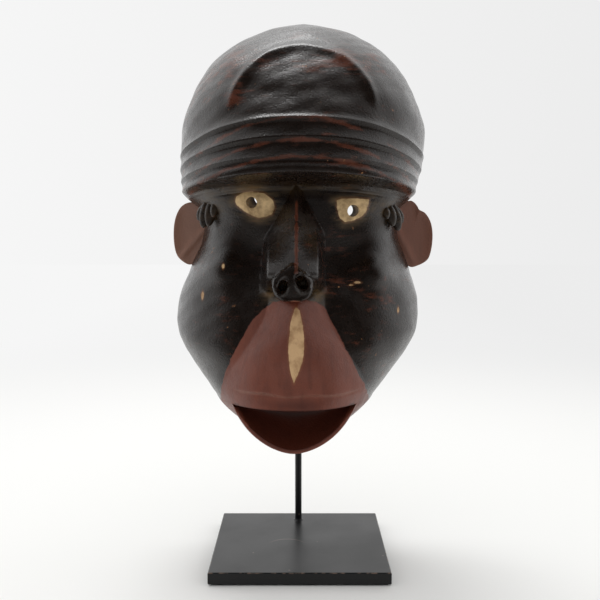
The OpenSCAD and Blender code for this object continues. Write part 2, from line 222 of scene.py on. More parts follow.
for node_name in ("base_plate", "upright_rod", "foot_weld", "socket_tube", "cross_strap", "tube_welds"):
    cover(node_name, enamel)

# ---------------------------------------------------------------- felt
# Pressed black wool felt: the sheet glued under the plate, and the pads
# between the bracket's strap and the wood. Matt, with short stray fibres.
FIBRE = 0.0006
felt, tree = empty_material("pressed_black_felt")
place = add_node(tree, "TexCoord").outputs["Object"]
fibres = add_node(tree, "TexNoise", {"Vector": place, "Scale": 1 / FIBRE, "Detail": 4.0})
colour = add_node(tree, "Mix", {0: fibres, 6: linear("#0b0b0b"), 7: linear("#262626")}, data_type="RGBA")
shader = add_node(tree, "BsdfPrincipled", {"Base Color": colour, "Roughness": 0.95})
add_node(tree, "OutputMaterial", {"Surface": shader})
for node_name in ("base_felt", "tab_pads"):
    cover(node_name, felt)

# ---------------------------------------------------------------- cap
# The rod's end cap of soft black vinyl, dip moulded, on which the socket
# turns. Its skin is half matt and slightly uneven.
VINYL_GRAIN = 0.0015
vinyl, tree = empty_material("dip_moulded_black_vinyl")
place = add_node(tree, "TexCoord").outputs["Object"]
grain = add_node(tree, "TexNoise", {"Vector": place, "Scale": 1 / VINYL_GRAIN})
gloss = add_node(tree, "MapRange", {"Value": grain, 1: 0.3, 2: 0.7, 3: 0.45, 4: 0.6})
shader = add_node(tree, "BsdfPrincipled", {"Base Color": linear("#131313"), "Roughness": gloss})
add_node(tree, "OutputMaterial", {"Surface": shader})
cover("rod_cap", vinyl)

# ---------------------------------------------------------------- screws
# Four slotted round-head wood screws of zinc-plated steel, turned in
# through the strap's ends. The plating has gone dull in spots.
ZINC_SPOT = 0.0025
zinc, tree = empty_material("dull_zinc_plate")
place = add_node(tree, "TexCoord").outputs["Object"]
spots = add_node(tree, "TexNoise", {"Vector": place, "Scale": 1 / ZINC_SPOT, "Detail": 3.0})
gloss = add_node(tree, "MapRange", {"Value": spots, 1: 0.3, 2: 0.7, 3: 0.3, 4: 0.55})
shader = add_node(tree, "BsdfPrincipled", {"Base Color": linear("#a9a598"), "Metallic": 1.0, "Roughness": gloss})
add_node(tree, "OutputMaterial", {"Surface": shader})
cover("strap_screws", zinc)

# ---------------------------------------------------------------- mask
# One block of close-grained hardwood, carved with adze and knife, hollowed
# from behind, oiled and smoked dark, its muzzle, ears, eyes and one stripe
# painted with earth colours. Lengths here are millimetres.
RIM_Y = 38.0
# way up, height in front, height at the rim, half width, depth, squareness, shift
STATIONS = np.array([
    [0.00, 121, 118, 58.5, 124, 2.15, -3.4],
    [0.06, 138, 136, 73.0, 109, 2.2, -2.8],
    [0.13, 160, 158, 86.5, 103, 2.3, -2.0],
    [0.21, 184, 182, 87.5, 95, 2.3, -1.0],
    [0.29, 208, 206, 79.5, 84, 2.4, 0],
    [0.37, 232, 229, 70.5, 83, 2.6, 0.8],
    [0.43, 250, 245, 71.5, 85, 2.8, 0.3],
    [0.475, 262, 254, 80.0, 89, 3.0, -0.5],
    [0.49, 266.5, 257, 82.5, 113, 2.6, -0.4],
    [0.53, 276.5, 264, 84.0, 113, 2.5, 0],
    [0.57, 288.5, 272, 86.0, 111, 2.4, 0.8],
    [0.61, 301, 281, 87.0, 108, 2.3, 1.6],
    [0.70, 324, 304, 87.5, 100, 2.2, 2.6],
    [0.79, 345, 329, 79.0, 81, 2.2, 2.6],
    [0.87, 359, 352, 65.0, 58, 2.2, 2.6],
    [0.94, 372, 370, 41.0, 32, 2.1, 3.0],
    [0.98, 378.4, 378, 20.5, 14, 2.0, 2.6],
    [1.00, 382.5, 382.5, 0, 0, 2.0, 3.0]])
# height, half width, depth of the hollow
HOLLOW = np.array([
    [104, 24, 44], [113, 40, 64], [130, 56, 71], [160, 72, 73], [190, 71, 72.5], [212, 65, 72], [235, 63, 72],
    [252, 66, 74], [270, 72, 84], [300, 74, 90], [330, 68, 78], [350, 51, 54], [362, 34, 34], [367, 20, 20.0]])
MUZZLE_SWELL = np.array([
    [118, 0], [121, 0], [130, 5.8], [141, 12], [160, 19.2], [176, 22.8], [186, 24], [191, 14.4], [196, 0.0]])
COLUMNS = 221
# the brow's edge (0), the three crests (1 to 3) and their ends, by place along the way up
CREST_WAY, CREST_NUMBER = (0.478, 0.49, 0.53, 0.57, 0.61, 0.66), (-1, 0, 1, 2, 3, 4.2)
BAND_H = 3.0
# height in the middle of each crest, and its fall to the sides in mm per mm^2
CREST_LINES = ((303, 0.0048), (289, 0.0042), (278.5, 0.0036))
DOME_AT, DOME_HALF = (2, 299), (47, 52)
LIP_X, MOUTH_HALF, MOUTH_DEEP = -3.4, 40.0, 34.0
JAW_Y, JAW_Z, JAW_EDGE, JAW_BOW = -76.0, 92.3, 1.9, 1.9
KEEL_X, KEEL_Z, KEEL_LEN = -4.0, 91.0, 110.0
NOSE_X, NOSE_LEFT, NOSE_RIGHT, BROW_Z = -2.0, 17.5, 13.0, 256.0
NOSE_START, NOSE_RISE = 90.0, 0.74
SNOUT_AT, SNOUT_HALF, SNOUT_FAR = (-4.2, 199.3), (12.3, 11.2), 129.5
# side, height, half width, half height of each nostril
NOSTRILS = ((-10.2, 197.3, 2.6, 3.9), (1.6, 199.6, 3.2, 4.4))
NOSTRIL_DEEP = 10.0
# front end, back end and radius of each pierced eye
EYE_HOLES = (("left_eye", (-35.1, -56, 246.8), (-19, -10, 257), 3.7),
             ("right_eye", (37.4, -56, 243.3), (28.4, -10, 246), 3.9))
# strength, side, height, reach sideways and reach upwards: the places where
# dust lies, and those where hands have rubbed the smoke off
DUSTY = ((0.3, -10, 258, 60, 3), (0.9, -17, 189, 6, 5), (0.9, 10, 189, 6, 5), (0.4, -60, 248, 10, 8),
         (0.4, 60, 246, 10, 8))
RUBBED = ((0.5, 15, 338, 40, 12), (0.2, -50, 200, 12, 14), (0.7, -3, 124, 24, 3.5), (0.4, 0, 160, 14, 22),
          (0.35, -56, 330, 30, 26))
# side, height, half width and half height of old chips in the skin
CHIPS = np.array([[37.5, 197.5, 3.4, 1.2], [33.5, 196, 2.4, 0.9], [-50, 208, 1.2, 2.6], [-65, 188, 1.5, 4],
                  [66, 178.5, 1.1, 3.4]])
# outlines seen from in front, as (side, height)
LEFT_EYE_PAINT = [(-42, 250.5), (-41, 253.6), (-37, 255.8), (-30.5, 256.4), (-23, 255.2), (-17.5, 251), (-15.8, 246),
                  (-17.5, 242), (-22, 240), (-27, 239.4), (-33, 241.8), (-38.3, 245.6), (-41, 248)]
RIGHT_EYE_PAINT = [(23.8, 250.8), (28, 251.9), (36, 252), (45.4, 251.6), (45.3, 248), (43.4, 243.2), (40, 240),
                   (34, 237.5), (29.5, 236.9), (26.2, 239.4), (24.4, 245)]
STRIPE = [(-2.2, 184.2), (-3.6, 181.5), (-5.4, 174.8), (-6.9, 163), (-6.5, 150.3), (-5.2, 143.5), (-3.5, 137.3),
          (-1.2, 142.5), (1.8, 150.5), (2.9, 160.5), (2.1, 172.8), (0, 181.8)]
MUZZLE_PAINT = [(-3, 189), (-16.5, 186), (-22, 182), (-29.5, 174.4), (-37, 162.5), (-44.5, 149), (-49.5, 136),
                (-52, 124), (-58, 100), (-20, 70), (20, 70), (52, 100), (45, 124), (41, 134), (37.4, 140.5),
                (31, 153.2), (21.8, 171), (16, 182), (10.5, 186.5)]
NO_PAINT = -20.0


def curve(stations, column, x):
    """Smooth curve through a column of stations: cubic Hermite spans, slopes from each station's two neighbours."""
    at, value = stations[:, 0], stations[:, column]
    slope = np.empty(len(at))
    slope[1:-1] = (value[2:] - value[:-2]) / (at[2:] - at[:-2])
    slope[0] = (value[1] - value[0]) / (at[1] - at[0])
    slope[-1] = (value[-1] - value[-2]) / (at[-1] - at[-2])
    i = np.clip(np.searchsorted(at, x, "right") - 1, 0, len(at) - 2)
    h = at[i + 1] - at[i]
    t = np.clip((x - at[i]) / h, 0, 1)
    return ((2 * t**3 - 3 * t**2 + 1) * value[i] + (t**3 - 2 * t**2 + t) * h * slope[i]
            + (3 * t**2 - 2 * t**3) * value[i + 1] + (t**3 - t**2) * h * slope[i + 1])


def ease(a, b, x):
    """0 at a, 1 at b, smooth between: 3 t^2 - 2 t^3."""
    t = np.clip((x - a) / (b - a), 0, 1)
    return t * t * (3 - 2 * t)


def bell(x, z, at_x, at_z, reach_x, reach_z):
    """Round swelling of height 1 about a point: exp(-(x/a)^2 - (z/b)^2)."""
    return np.exp(-((x - at_x) / reach_x)**2 - ((z - at_z) / reach_z)**2)


def inside(x, z, outline):
    """Signed distance to a closed outline: to its nearest side, positive where a ray crosses an odd number."""
    shape = np.broadcast(x, z).shape
    nearest, odd = np.full(shape, 1e9), np.zeros(shape, bool)
    for (ax, az), (bx, bz) in zip(outline, outline[1:] + outline[:1]):
        rx, rz, sx, sz = x - ax, z - az, bx - ax, bz - az
        t = np.clip((rx * sx + rz * sz) / (sx * sx + sz * sz), 0, 1)
        nearest = np.minimum(nearest, np.hypot(rx - t * sx, rz - t * sz))
        odd ^= ((rz > 0) != (rz > sz)) & (rx * sz < sx * rz if sz > 0 else rx * sz > sx * rz)
    return np.where(odd, nearest, -nearest)


def ellipse_radius(x, z, at, half):
    """Distance from a centre in units of an ellipse's half axes."""
    return np.hypot((x - at[0]) / half[0], (z - at[1]) / half[1])


def snout_radius(x, z):
    """1 on the snout's outline: (|x / a|^n + |z / b|^n)^(1 / n), with a drawn in towards the top."""
    n = 2.7
    half = SNOUT_HALF[0] * (1 - 0.68 * ease(200, 211, z))
    return (np.abs((x - SNOUT_AT[0]) / half)**n + np.abs((z - SNOUT_AT[1]) / SNOUT_HALF[1])**n)**(1 / n)


def crack(x, z, width):
    """1 along a wavering level crack in the muzzle: exp(-(off / width)^2)."""
    return np.exp(-((z - 129.3 + 0.02 * x - 0.5 * np.sin(x / 5)) / width)**2)


def nose(x, z, depth):
    """Ridge that comes forward from the brow to the snout, 0.74 mm for each mm down.

    Its sides fall by 1.5 per mm above; below they are two planes that fall by 0.62, with steep outer walls."""
    off = np.sqrt((x - NOSE_X)**2 + 0.2) - 0.4
    half = np.where(x < NOSE_X, NOSE_LEFT, NOSE_RIGHT)
    low = ease(232, 210, z)
    fall = (1 - low) * 1.5 * off + low * (0.62 * off + 6.0 * np.maximum(0, off - half))
    forward = NOSE_START + NOSE_RISE * (BROW_Z - z) - fall - depth
    return np.maximum(forward, 0) * ease(188, 206, z) * ease(266, 257, z)


def snout(x, z, depth):
    """Snout of height far - 2.5 r^2 with a raised edge at r = 0.91, its nostrils sunk inside rims of their own."""
    r = snout_radius(x, z)
    forward = np.maximum(0, SNOUT_FAR - 2.5 * r * r - depth) + 1.3 * np.exp(-((r - 0.91) / 0.08)**2)
    for nx, nz, half_x, half_z in NOSTRILS:
        n = ellipse_radius(x + 0.25 * (z - nz) * np.sign(nx), z, (nx, nz), (half_x, half_z))
        forward = forward - NOSTRIL_DEEP * ease(1.0, 0.55, n) + 1.6 * np.exp(-((n - 1.3) / 0.25)**2)
    return forward * ease(1.14, 1.0, r)


def muzzle(x, z):
    """Rounded wedge under the snout: its height curve, times 1 - (1 - m)^2 from its edge inwards."""
    half = 18 + 32 * ease(188, 118, z)
    m = np.clip((half - np.abs(x + 2 + (184 - z) / 40)) / 40, 0, 1)
    return curve(MUZZLE_SWELL, 1, z) * (1 - (1 - m)**2)


def relief(x, z, depth):
    """All that is carved forward of the plain face: the foremost of nose, snout and muzzle, plus the rest."""
    cheeks = 11 * bell(x, z, -54, 207, 14, 11) + 11 * bell(x, z, 52, 205, 14, 11)
    hollows = -5 * bell(x, z, -28, 216, 14, 14) - 5 * bell(x, z, 26, 214, 14, 14)
    mounds = sum(1.3 * ease(-1.5, 3.5, inside(x, z, paint)) for paint in (LEFT_EYE_PAINT, RIGHT_EYE_PAINT))
    groove = -1.6 * np.clip(inside(x, z, STRIPE) / 4.5, 0, 1)
    cracked = -0.9 * crack(x, z, 0.6) * ease(-46, -38, x) * ease(42, 34, x)
    under_brow = sum(-0.5 * np.exp(-((z - middle + fall * x**2) / width)**2)
                     for middle, fall, width in ((259.5, 0.0012, 0.5), (257.3, 0.0011, 0.4)))
    foremost = np.maximum(np.maximum(nose(x, z, depth), snout(x, z, depth)), muzzle(x, z))
    return foremost + cheeks + hollows + mounds + groove + cracked + under_brow


def bands(way, side):
    """Forehead bands: above each crest (1 - u)^1.6, then a steep underside v^1.2 up to the next, none at the rim."""
    t = np.interp(way, CREST_WAY, CREST_NUMBER)
    u = t - np.floor(t)
    wave = np.where(u < 0.72, np.maximum(1 - u / 0.72, 0)**1.6, np.maximum((u - 0.72) / 0.28, 0)**1.2)
    above = np.exp(-np.maximum(t - 3, 0) * 4)
    height = np.where(t <= 0, ease(-1, 0, t), np.where(t < 3, wave, above))
    return BAND_H * height * (1 - side**12)


def carving_marks(x, y, z):
    """Faint flats of the adze, in mm: a sum of long crossing waves."""
    return (0.28 * np.sin(0.19 * x + 0.11 * z + 1.1) * np.sin(0.15 * z - 0.07 * x + 0.6)
            + 0.16 * np.sin(0.31 * z + 0.13 * y) * np.sin(0.23 * x - 0.17 * z + 2.0))


def face_rows(way, turn):
    """Outer face above the lip, one row of points for each way-up value, one column for each turn.

    Across a row x = shift + W f and y = rim - D (1 - f^n)^(1/n), with f = sin(turn)."""
    way, turn = np.broadcast_arrays(way[:, None], turn[None, :])
    front_z, rim_z, width, depth, n, shift = (curve(STATIONS, k, way) for k in range(1, 7))
    side = np.abs(np.sin(turn))
    front = np.maximum(1 - side**n, 0)**(1 / n)
    swell = np.where(way > 0.999, 0, bands(way, side))
    x = shift + np.sign(turn) * (width + swell * side) * side
    z = front_z + (rim_z - front_z) * side**2.5
    ahead = (depth + swell) * front
    y = RIM_Y - ahead - relief(x, z, ahead) * ease(0, 0.5, front)
    # the dome's front is a flatter facet, set off by a ridge in the shape of an arch
    arc = (ellipse_radius(x, z, DOME_AT, DOME_HALF) - 1) * 50
    crown_edge = (1.5 * np.exp(-(arc / 3.2)**2) - 4.4 * (1 - np.exp(np.minimum(arc, 0) / 9))) * ease(304, 322, z)
    crown_edge = crown_edge * ease(0, 0.3, front) * ease(64, 40, x)
    marks = (carving_marks(x, y, z) + crown_edge) * ease(1.0, 0.95, way)
    out_x = (x - shift) / np.maximum(width, 1)
    out_y = (y - RIM_Y) / np.maximum(depth, 1)
    out_z = np.maximum(z - 290, 0) / 92
    size = np.sqrt(out_x**2 + out_y**2 + out_z**2) + 1e-6
    rounding = 2.2 * ease(-0.6, 1, (y - RIM_Y) / 3 + 1) * ease(0, 12, width)
    return np.stack([x + marks * out_x / size * ease(38, 34, y) - np.sign(turn) * rounding * side,
                     y + marks * out_y / size, z + marks * out_z / size], -1)


def mask_rings():
    """Closed rings from the keel under the jaw, over its edge, through the mouth and up the face to the crown."""
    s = np.linspace(-1, 1, COLUMNS)
    turn = np.pi / 2 * (s - 0.12 * np.sin(np.pi * s))
    way = np.concatenate([np.linspace(0, 0.475, 170), np.linspace(0.475, 0.49, 10)[1:],
                          np.linspace(0.49, 0.64, 90)[1:], 0.64 + 0.36 * np.linspace(0, 1, 72)[1:]])
    face = face_rows(way, turn)
    lip = face[0]
    across = np.minimum(1, np.abs(lip[:, 0] - LIP_X) / MOUTH_HALF)
    open_here = (across < 1)[:, None]
    jaw = np.where(open_here, np.stack([
        lip[:, 0], JAW_Y + (lip[:, 1] - JAW_Y) * across**3, JAW_Z + (lip[:, 2] - JAW_Z) * across**JAW_BOW], -1), lip)
    # the jaw's edge is a narrow flat rim, from its outer edge in to the pocket
    inward = np.stack([LIP_X - jaw[:, 0], np.full(COLUMNS, 6.0), 125 - jaw[:, 2]], -1)
    inward *= JAW_EDGE * (1 - across**6)[:, None] / np.linalg.norm(inward, axis=-1, keepdims=True)
    rim = np.where(open_here, jaw + inward, lip)
    t = (np.linspace(0, 1, 24)[1:-1]**1.7)[:, None, None]
    mouth = lip + (rim - lip) * t
    mouth[..., 1] += MOUTH_DEEP * (1 - across**2)**0.7 * (t[..., 0]**0.3 * (1 - t[..., 0])**0.75 / 0.534)
    mouth = np.where(open_here, mouth, lip)
    r = np.linspace(0, 1, 28)[1:, None]
    low, out = np.sin(np.pi / 2 * r)**1.4, np.cos(np.pi / 2 * r)**1.4
    out[-1] = 0
    keel_y = RIM_Y - KEEL_LEN * np.cos(np.abs(turn))**0.8
    trough = np.stack([KEEL_X + (jaw[:, 0] - KEEL_X) * out, jaw[:, 1] + (keel_y - jaw[:, 1]) * (1 - out),
                       jaw[:, 2] - (jaw[:, 2] - KEEL_Z) * low], -1)
    return np.concatenate([trough[::-1], jaw[None], rim[None], mouth[::-1], face])


def hollow_middle(z):
    """Sideways place of the hollow's middle, which leans by 1 mm in 60."""
    return (z - 200) / 60


def hollow_rings():
    """The scooped inside: level rings x = W sin^(2/2.4), y = rim - D cos^(2/2.4), with the gouge's marks."""
    height = np.concatenate([np.linspace(104, 360, 100), [363.5, 367]])[:, None]
    turn = np.linspace(-np.pi / 2, np.pi / 2, 97)[None]
    width, depth, shift = curve(HOLLOW, 1, height), curve(HOLLOW, 2, height), hollow_middle(height)
    power = 2 / 2.4
    gouge = 0.7 * np.abs(np.sin(height / 6 + 1.5 * np.sin(9 * turn))) * np.abs(np.sin(11 * turn + height / 40))
    x = shift + (width - gouge) * np.sign(turn) * np.abs(np.sin(turn))**power
    y = RIM_Y - (depth - gouge) * np.maximum(np.cos(turn), 0)**power
    x = np.concatenate([x[:, :1], x, x[:, -1:]], 1)
    y = np.concatenate([y[:, :1] + 3, y, y[:, -1:] + 3], 1)
    return np.stack([x, y, np.broadcast_to(height, x.shape)], -1)


def tube_rings(start, end, radius):
    """Rings of a plain round bar from start to end."""
    start, end = np.array(start, float), np.array(end, float)
    along = (end - start) / np.linalg.norm(end - start)
    first = np.cross(along, [0, 0, 1.0])
    first /= np.linalg.norm(first)
    second = np.cross(along, first)
    a = np.linspace(0, 2 * np.pi, 33)[:-1][:, None]
    ring = radius * (np.cos(a) * first + np.sin(a) * second)
    return np.stack([start + ring, end + ring])


def loft(name, rings, material, caps):
    """Closed surface through closed rings with the same number of points, its doubled points merged."""
    count, around = rings.shape[:2]
    index = np.arange(count * around).reshape(count, around)
    low, high = index[:-1], index[1:]
    faces = np.stack([low, np.roll(low, -1, 1), np.roll(high, -1, 1), high], -1).reshape(-1, 4).tolist()
    if caps:
        faces += [index[0][::-1].tolist(), index[-1].tolist()]
    made = mesh_object(name, rings / 1000, faces, material)
    work = bmesh.new()
    work.from_mesh(made.data)
    bmesh.ops.remove_doubles(work, verts=work.verts, dist=1e-6)
    bmesh.ops.dissolve_degenerate(work, edges=work.edges, dist=1e-7)
    bmesh.ops.recalc_face_normals(work, faces=work.faces)
    work.to_mesh(made.data)
    work.free()
    return made


def combine(target, tool, operation):
    """Adds the tool's solid to the target's, or takes it out, and removes the tool."""
    modifier = target.modifiers.new("join", "BOOLEAN")
    modifier.operation = operation
    modifier.solver = "MANIFOLD"
    modifier.object = tool
    bpy.context.view_layer.objects.active = target
    bpy.ops.object.modifier_apply(modifier="join")
    bpy.data.objects.remove(tool)


def store(mesh, name, values):
    """Keeps one number for each vertex under a name the material can read."""
    layer = mesh.attributes.new(name, "FLOAT", "POINT")
    layer.data.foreach_set("value", np.ascontiguousarray(values, np.float32))


def store_level(mesh, **levels):
    """Keeps the same number for all vertices, under each name."""
    for name, level in levels.items():
        store(mesh, name, np.full(len(mesh.vertices), level))


# Hardwood blackened by smoke and palm oil and rubbed to a low gloss, red
# where hands wore it; clay and chalk paints lie on it thin and matt.
# Sizes of its patterns in metres.
CLOUD, MOTTLE, STREAK, LEVEL_STREAK, NICK, SPECK = 0.03, 0.007, 0.004, 0.0035, 0.0034, 0.0012
carved, tree = empty_material("smoked_oiled_hardwood_with_earth_pigments")
place = add_node(tree, "TexCoord").outputs["Object"]
cloud = add_node(tree, "TexNoise", {"Vector": place, "Scale": 1 / CLOUD, "Detail": 4.0})
mottle = add_node(tree, "TexNoise", {"Vector": place, "Scale": 1 / MOTTLE, "Detail": 5.0, "Roughness": 0.6})
speck = add_node(tree, "TexNoise", {"Vector": place, "Scale": 1 / SPECK, "Detail": 3.0})
upright = add_node(tree, "Mapping", {"Vector": place, "Scale": (1, 1, 0.22)})
streak = add_node(tree, "TexNoise", {"Vector": upright, "Scale": 1 / STREAK, "Detail": 5.0})
level_way = add_node(tree, "Mapping", {"Vector": place, "Scale": (0.2, 0.5, 1)})
level_streak = add_node(tree, "TexNoise", {"Vector": level_way, "Scale": 1 / LEVEL_STREAK, "Detail": 5.0,
                                           "Roughness": 0.6})
within = add_node(tree, "Attribute", attribute_name="within").outputs["Fac"]
clay_depth = add_node(tree, "Attribute", attribute_name="clay").outputs["Fac"]
chalk_depth = add_node(tree, "Attribute", attribute_name="chalk").outputs["Fac"]
dust = add_node(tree, "Attribute", attribute_name="dust").outputs["Fac"]
wear = add_node(tree, "Attribute", attribute_name="wear").outputs["Fac"]
# black smoke skin over red-brown wood, rubbed through along level streaks
smoke = add_node(tree, "Mix", {0: mottle, 6: linear("#0a0604"), 7: linear("#22150d")}, data_type="RGBA")
red = add_node(tree, "Mix", {0: mottle, 6: linear("#2c140c"), 7: linear("#64321d")}, data_type="RGBA")
rubbed = add_node(tree, "Math", {0: level_streak, 1: 2.6, 2: wear}, operation="MULTIPLY_ADD")
rubbed = add_node(tree, "Math", {0: cloud, 1: 1.8, 2: rubbed}, operation="MULTIPLY_ADD")
rubbed = add_node(tree, "MapRange", {"Value": rubbed, 1: 2.42, 2: 3.1}, interpolation_type="SMOOTHSTEP")
wood = add_node(tree, "Mix", {0: rubbed, 6: smoke, 7: red}, data_type="RGBA")
nicks = add_node(tree, "TexNoise", {"Vector": place, "Scale": 1 / NICK, "Detail": 2.0})
nicks = add_node(tree, "MapRange", {"Value": nicks, 1: 0.71, 2: 0.74, 3: 0.0, 4: 0.8})
nicked = add_node(tree, "MapRange", {"Value": cloud, 1: 0.5, 2: 0.62})
nicks = add_node(tree, "Math", {0: nicks, 1: nicked}, operation="MULTIPLY")
wood = add_node(tree, "Mix", {0: nicks, 6: wood, 7: linear("#9a6a44")}, data_type="RGBA")
# dry dust in the corners, in level wisps
wisp = add_node(tree, "MapRange", {"Value": level_streak, 1: 0.36, 2: 0.62})
dusty = add_node(tree, "Math", {0: dust, 1: wisp}, operation="MULTIPLY")
wood = add_node(tree, "Mix", {0: dusty, 6: wood, 7: linear("#66502f")}, data_type="RGBA")
# red clay rub on muzzle and ears, darker where it wore off, and darkened all over inside the mouth pocket as painted
# shade under the upper lip
clay_worn = add_node(tree, "MapRange", {"Value": streak, 1: 0.46, 2: 0.68, 3: 0.0, 4: 0.25})
clay = add_node(tree, "Mix", {0: cloud, 6: linear("#5c2b1c"), 7: linear("#7f4432")}, data_type="RGBA")
clay = add_node(tree, "Mix", {0: clay_worn, 6: clay, 7: linear("#3d1d14")}, data_type="RGBA")
clay_wear = add_node(tree, "MapRange", {"Value": wear, 1: 0.0, 2: 1.0, 3: 0.0, 4: 0.8})
clay = add_node(tree, "Mix", {0: clay_wear, 6: clay, 7: linear("#43190d")}, data_type="RGBA")
faded = add_node(tree, "MapRange", {"Value": wear, 1: 0.0, 2: -1.0, 3: 0.0, 4: 0.8})
clay = add_node(tree, "Mix", {0: faded, 6: clay, 7: linear("#94705f")}, data_type="RGBA")
painted = add_node(tree, "Math", {0: mottle, 1: 3.0, 2: clay_depth}, operation="MULTIPLY_ADD")
painted = add_node(tree, "MapRange", {"Value": painted, 1: 1.1, 2: 1.9}, interpolation_type="SMOOTHSTEP")
colour = add_node(tree, "Mix", {0: painted, 6: wood, 7: clay}, data_type="RGBA")
# chalk on the eyes, greyer, and on the stripe, creamier, with a stained edge
height = add_node(tree, "SeparateXYZ", {0: place}).outputs["Z"]
eyes = add_node(tree, "MapRange", {"Value": height, 1: 0.19, 2: 0.22})
pale = add_node(tree, "Mix", {0: eyes, 6: linear("#bf9c72"), 7: linear("#cbac7d")}, data_type="RGBA")
deep = add_node(tree, "Mix", {0: eyes, 6: linear("#98744d"), 7: linear("#8b7049")}, data_type="RGBA")
chalk_patches = add_node(tree, "MapRange", {"Value": mottle, 1: 0.35, 2: 0.6})
chalk = add_node(tree, "Mix", {0: chalk_patches, 6: deep, 7: pale}, data_type="RGBA")
cream = add_node(tree, "Math", {0: mottle, 1: 1.6, 2: chalk_depth}, operation="MULTIPLY_ADD")
stain = add_node(tree, "MapRange", {"Value": cream, 1: -0.9, 2: 0.6, 3: 0.0, 4: 0.6})
stain = add_node(tree, "Math", {0: stain, 1: speck}, operation="MULTIPLY")
colour = add_node(tree, "Mix", {0: stain, 6: colour, 7: linear("#8a5630")}, data_type="RGBA")
chalked = add_node(tree, "MapRange", {"Value": cream, 1: 0.55, 2: 1.05}, interpolation_type="SMOOTHSTEP")
colour = add_node(tree, "Mix", {0: chalked, 6: colour, 7: chalk}, data_type="RGBA")
# bare gouged wood inside
raw = add_node(tree, "Mix", {0: streak, 6: linear("#20150e"), 7: linear("#4a3221")}, data_type="RGBA")
colour = add_node(tree, "Mix", {0: within, 6: colour, 7: raw}, data_type="RGBA")
gloss = add_node(tree, "MapRange", {"Value": mottle, 1: 0.3, 2: 0.75, 3: 0.20, 4: 0.36})
gloss = add_node(tree, "Math", {0: painted, 1: 0.17, 2: gloss}, operation="MULTIPLY_ADD")
gloss = add_node(tree, "Math", {0: chalked, 1: 0.25, 2: gloss}, operation="MULTIPLY_ADD")
gloss = add_node(tree, "Math", {0: within, 1: 0.4, 2: gloss}, operation="MULTIPLY_ADD")
gloss = add_node(tree, "Math", {0: dusty, 1: 0.3, 2: gloss}, operation="MULTIPLY_ADD")
relief_height = add_node(tree, "Math", {0: mottle, 1: 0.7, 2: speck}, operation="MULTIPLY_ADD")
relief_height = add_node(tree, "Math", {0: level_streak, 1: 0.6, 2: relief_height}, operation="MULTIPLY_ADD")
skin = add_node(tree, "Bump", {"Height": relief_height, "Strength": 0.45, "Distance": 0.0005})
shader = add_node(tree, "BsdfPrincipled", {"Base Color": colour, "Roughness": gloss, "Normal": skin})
add_node(tree, "OutputMaterial", {"Surface": shader})

mask = loft("mask", mask_rings(), carved, False)
hollow = loft("hollow", hollow_rings(), carved, True)
for name, start, end, radius in EYE_HOLES:
    combine(hollow, loft(name, tube_rings(start, end, radius), carved, True), "UNION")
combine(mask, hollow, "DIFFERENCE")
mask.data.set_sharp_from_angle(angle=math.radians(50))

points = np.empty(3 * len(mask.data.vertices))
mask.data.vertices.foreach_get("co", points)
x, y, z = points.reshape(-1, 3).T * 1000
left_eye, right_eye = inside(x, z, LEFT_EYE_PAINT), inside(x, z, RIGHT_EYE_PAINT)
hollow_width, hollow_depth = (curve(HOLLOW, column, np.clip(z, 104, 367)) for column in (1, 2))
within = (np.abs(x - hollow_middle(z)) / hollow_width)**2.4 + (np.maximum(RIM_Y - y, 0) / hollow_depth)**2.4
within = ease(1.03, 1.01, within) * ease(370, 366, z) * ease(102, 105, z)
store(mask.data, "within", within)
store(mask.data, "clay", np.minimum(inside(x, z, MUZZLE_PAINT), np.minimum((-8 - y) / 2, 30)))
chips = 3 * (0.68 - ellipse_radius(x[:, None], z[:, None], CHIPS.T[:2], CHIPS.T[2:])).max(1)
chalk_edge = np.maximum(np.maximum(inside(x, z, STRIPE), chips), np.maximum(left_eye, right_eye))
store(mask.data, "chalk", np.maximum(chalk_edge, -9) + np.where(y < 0, 0, NO_PAINT))
dust = (0.6 * ease(-7, -0.5, left_eye) + 0.6 * ease(-7, -0.5, right_eye)
        + 1.2 * ease(1.08, 0.98, snout_radius(x, z)) * (y < -60)
        + sum(strength * bell(x, z, *where) for strength, *where in DUSTY))
store(mask.data, "dust", np.clip(dust, 0, 1) * (y < 10) * ease(-88, -76, y))
# the nose's ridge, the rubbed places and the undersides of the bands show red
wear = (ease(1.7, 0.5, np.abs(x - NOSE_X)) * ease(203, 208, z) * ease(258, 246, z) * ease(20, 0, y)
        + sum(strength * bell(x, z, *where) for strength, *where in RUBBED)
        + sum(0.7 * np.exp(-((z - middle + 2.6 + fall * x**2) / 1.5)**2) for middle, fall in CREST_LINES))
faded_crack = crack(x, z, 0.55) * ease(-44, -36, x) * ease(40, 32, x)
# the whole mouth pocket is stored as full wear, which darkens its clay: painted shade under the upper lip
in_mouth = (z < 121) & (z > 94 + 29 * np.minimum(1, np.abs(x - LIP_X) / MOUTH_HALF)**JAW_BOW)
store(mask.data, "wear", np.where(in_mouth, 1.0, np.clip(wear, 0, 1) - 0.55 * faded_crack))
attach(mask, "mask")
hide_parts("mask_carving")

